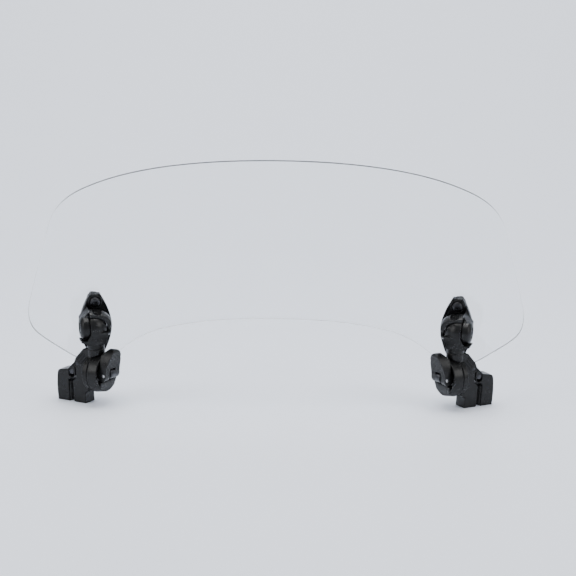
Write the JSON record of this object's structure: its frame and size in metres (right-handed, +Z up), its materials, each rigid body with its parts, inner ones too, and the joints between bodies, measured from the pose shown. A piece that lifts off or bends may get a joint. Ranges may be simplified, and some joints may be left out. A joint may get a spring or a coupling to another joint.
{
  "type": "windshield screen",
  "caption": "Clear bent clip-on windscreen extension on mirrored black quick clamps with tilt and swivel joints, hinged jaws and cam levers.",
  "frame": {"origin": "middle of the bounding box, on the plane that the clamps' jaws stand on", "axes": "+X to the rider's right along the screen's width, +Y forwards away from the rider, +Z up"},
  "size_m": [0.399, 0.0578, 0.1996],
  "materials": {
    "clear_screen": "clear polished acrylic sheet, 3 mm, with polished edges",
    "black_plastic": "satin black moulded glass-filled nylon",
    "rubber": "soft black rubber",
    "black_steel": "black oxide steel",
    "bright_steel": "plain stainless steel"
  },
  "bodies": {
    "screen": {"screen_panel": "clear_screen", "mount_plate_left": "black_plastic", "plate_gasket_left": "rubber", "upper_screw_left": "black_steel", "upper_washer_left": "rubber", "upper_cap_nut_left": "black_steel", "lower_screw_left": "black_steel", "lower_washer_left": "rubber", "lower_cap_nut_left": "black_steel", "tilt_screw_left": "black_steel", "mount_plate_right": "black_plastic", "plate_gasket_right": "rubber", "upper_screw_right": "black_steel", "upper_washer_right": "rubber", "upper_cap_nut_right": "black_steel", "lower_screw_right": "black_steel", "lower_washer_right": "rubber", "lower_cap_nut_right": "black_steel", "tilt_screw_right": "black_steel"},
    "knuckle_left": {"knuckle_left": "black_plastic", "tilt_nut_left": "black_steel", "set_screw_left": "bright_steel"},
    "clamp_left": {"clamp_frame_left": "black_plastic", "swivel_pin_left": "bright_steel", "inner_pad_left": "rubber", "cam_housing_left": "black_plastic", "hinge_pin_left": "black_steel"},
    "jaw_left": {"outer_jaw_left": "black_plastic", "outer_pad_left": "rubber"},
    "bolt_left": {"draw_bolt_left": "black_steel", "barrel_nut_left": "black_steel"},
    "lever_left": {"cam_lever_left": "black_plastic", "lever_pin_left": "bright_steel"},
    "knuckle_right": {"knuckle_right": "black_plastic", "tilt_nut_right": "black_steel", "set_screw_right": "bright_steel"},
    "clamp_right": {"clamp_frame_right": "black_plastic", "swivel_pin_right": "bright_steel", "inner_pad_right": "rubber", "cam_housing_right": "black_plastic", "hinge_pin_right": "black_steel"},
    "jaw_right": {"outer_jaw_right": "black_plastic", "outer_pad_right": "rubber"},
    "bolt_right": {"draw_bolt_right": "black_steel", "barrel_nut_right": "black_steel"},
    "lever_right": {"cam_lever_right": "black_plastic", "lever_pin_right": "bright_steel"}
  },
  "joints": [
    {"name": "left_tilt", "type": "hinge", "parent": "screen", "child": "knuckle_left", "pos_m": [-0.14597, -0.0116, 0.06396], "axis": [0.9689, 0.2419, 0.0514], "range_deg": [-40, 0]},
    {"name": "left_swivel", "type": "hinge", "parent": "knuckle_left", "child": "clamp_left", "pos_m": [-0.14504, -0.0116, 0.04649], "axis": [-0.053, 0, 0.9986], "range_deg": [-12, 35]},
    {"name": "left_jaw_hinge", "type": "hinge", "parent": "clamp_left", "child": "jaw_left", "pos_m": [-0.15823, -0.00372, 0.03227], "axis": [0.4918, 0.8703, 0.0261], "range_deg": [0, 12.7]},
    {"name": "left_bolt_slide", "type": "slide", "parent": "clamp_left", "child": "bolt_left", "axis": [-0.8691, 0.4925, -0.0461], "range_m": [0, 0.0015]},
    {"name": "left_lever", "type": "hinge", "parent": "bolt_left", "child": "lever_left", "pos_m": [-0.13328, -0.01766, 0.02678], "axis": [0.4918, 0.8703, 0.0261], "range_deg": [0, 95]},
    {"name": "right_tilt", "type": "hinge", "parent": "screen", "child": "knuckle_right", "pos_m": [0.14597, -0.0116, 0.06396], "axis": [0.9689, -0.2419, -0.0514], "range_deg": [-40, 0]},
    {"name": "right_swivel", "type": "hinge", "parent": "knuckle_right", "child": "clamp_right", "pos_m": [0.14504, -0.0116, 0.04649], "axis": [-0.053, 0, -0.9986], "range_deg": [-12, 35]},
    {"name": "right_jaw_hinge", "type": "hinge", "parent": "clamp_right", "child": "jaw_right", "pos_m": [0.15823, -0.00372, 0.03227], "axis": [0.4918, -0.8703, -0.0261], "range_deg": [0, 12.7]},
    {"name": "right_bolt_slide", "type": "slide", "parent": "clamp_right", "child": "bolt_right", "axis": [0.8691, 0.4925, -0.0461], "range_m": [0, 0.0015]},
    {"name": "right_lever", "type": "hinge", "parent": "bolt_right", "child": "lever_right", "pos_m": [0.13328, -0.01766, 0.02678], "axis": [0.4918, -0.8703, -0.0261], "range_deg": [0, 95]}
  ],
  "couplings": [
    {"joint": "left_jaw_hinge", "follows": "left_bolt_slide", "rad_per_m": 147.06},
    {"joint": "left_lever", "follows": "left_bolt_slide", "rad_per_m": 1105.4},
    {"joint": "right_jaw_hinge", "follows": "right_bolt_slide", "rad_per_m": 147.06},
    {"joint": "right_lever", "follows": "right_bolt_slide", "rad_per_m": 1105.4}
  ]
}
